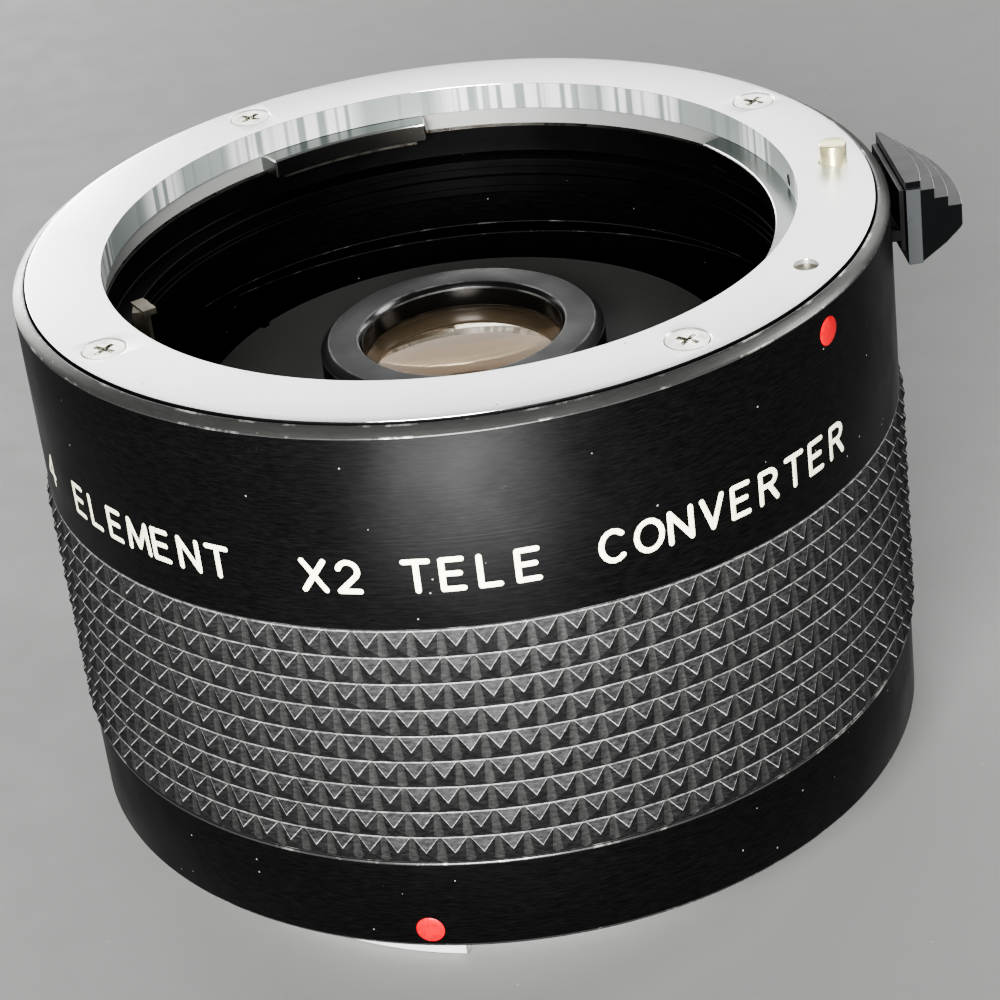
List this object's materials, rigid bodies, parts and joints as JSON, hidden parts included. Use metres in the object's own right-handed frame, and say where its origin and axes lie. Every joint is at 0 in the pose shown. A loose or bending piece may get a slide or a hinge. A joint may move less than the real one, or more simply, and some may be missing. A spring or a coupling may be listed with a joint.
{
  "type": "camera teleconverter",
  "caption": "Short black camera teleconverter: chrome bayonet mounts front and rear, pyramid rubber grip, sprung lock pin with release tab, coupling levers and a lens cell inside.",
  "frame": {"origin": "centre of the rear flange face, on the optical axis", "axes": "+Z along the optical axis to the front mount, +X towards the release tab"},
  "size_m": [0.0658, 0.0612, 0.0466],
  "materials": {
    "barrel_black": "satin black anodised aluminium with worn bright edges",
    "grip_rubber": "moulded black rubber with a pyramid grip",
    "mount_chrome": "brushed chrome plating on brass",
    "screw_steel": "plain nickelled steel",
    "spring_steel": "bright spring steel",
    "inner_black": "matt black anodised, to swallow stray light",
    "index_red": "red enamel",
    "coated_glass": "optical glass with an amber coating",
    "clear_glass": "optical glass",
    "baffle_plastic": "matt black moulding",
    "shim_brass": "thin brass sheet",
    "pin_brass": "pale turned brass",
    "plate_black": "blackened steel sheet",
    "tab_plastic": "glossy black moulding with worn edges",
    "lever_steel": "bright bent steel"
  },
  "bodies": {
    "housing": {"main_barrel": "barrel_black", "grip_sleeve": "grip_rubber", "rear_ring": "barrel_black", "front_bayonet": "mount_chrome", "flange_screws": "screw_steel", "flange_dowel": "screw_steel", "throat_stop_pin": "screw_steel", "bayonet_spring": "spring_steel", "throat_ring": "inner_black", "front_index_dot": "index_red", "rear_index_dot": "index_red", "optics_carrier": "inner_black", "carrier_screws": "screw_steel", "lens_cell": "inner_black", "front_retaining_ring": "inner_black", "front_element": "coated_glass", "spacer_front": "inner_black", "middle_negative": "clear_glass", "middle_positive": "clear_glass", "spacer_rear": "inner_black", "rear_element": "clear_glass", "rear_retaining_ring": "inner_black", "rear_baffle": "baffle_plastic", "mount_shim": "shim_brass", "rear_bayonet": "mount_chrome", "rear_mount_screws": "screw_steel", "lock_pin_spring": "spring_steel", "stop_down_spring": "spring_steel", "aperture_spring": "spring_steel", "ring_washer": "shim_brass", "ring_clip": "spring_steel"},
    "release": {"release_tab": "tab_plastic", "release_plate": "plate_black", "lock_pin": "pin_brass", "tab_rivets": "screw_steel"},
    "stop_down": {"stop_down_ring": "plate_black", "stop_down_front_lever": "lever_steel", "stop_down_rear_lever": "lever_steel"},
    "aperture": {"aperture_ring": "plate_black", "aperture_front_lever": "lever_steel", "aperture_rear_lever": "lever_steel"}
  },
  "joints": [
    {"name": "release_slide", "type": "slide", "parent": "housing", "child": "release", "axis": [0, 0, -1], "range_m": [0, 0.0016], "stiffness_N_per_m": 400, "springref_m": -0.001, "deforming": ["lock_pin_spring"]},
    {"name": "stop_down_turn", "type": "hinge", "parent": "housing", "child": "stop_down", "pos_m": [0, 0, 0.0158], "axis": [0, 0, 1], "range_deg": [-14, 0], "stiffness_Nm_per_rad": 0.02, "springref_deg": 8.59, "deforming": ["stop_down_spring"]},
    {"name": "aperture_turn", "type": "hinge", "parent": "housing", "child": "aperture", "pos_m": [0, 0, 0.0172], "axis": [0, 0, 1], "range_deg": [0, 40], "stiffness_Nm_per_rad": 0.01, "springref_deg": -8.59, "deforming": ["aperture_spring"]}
  ]
}
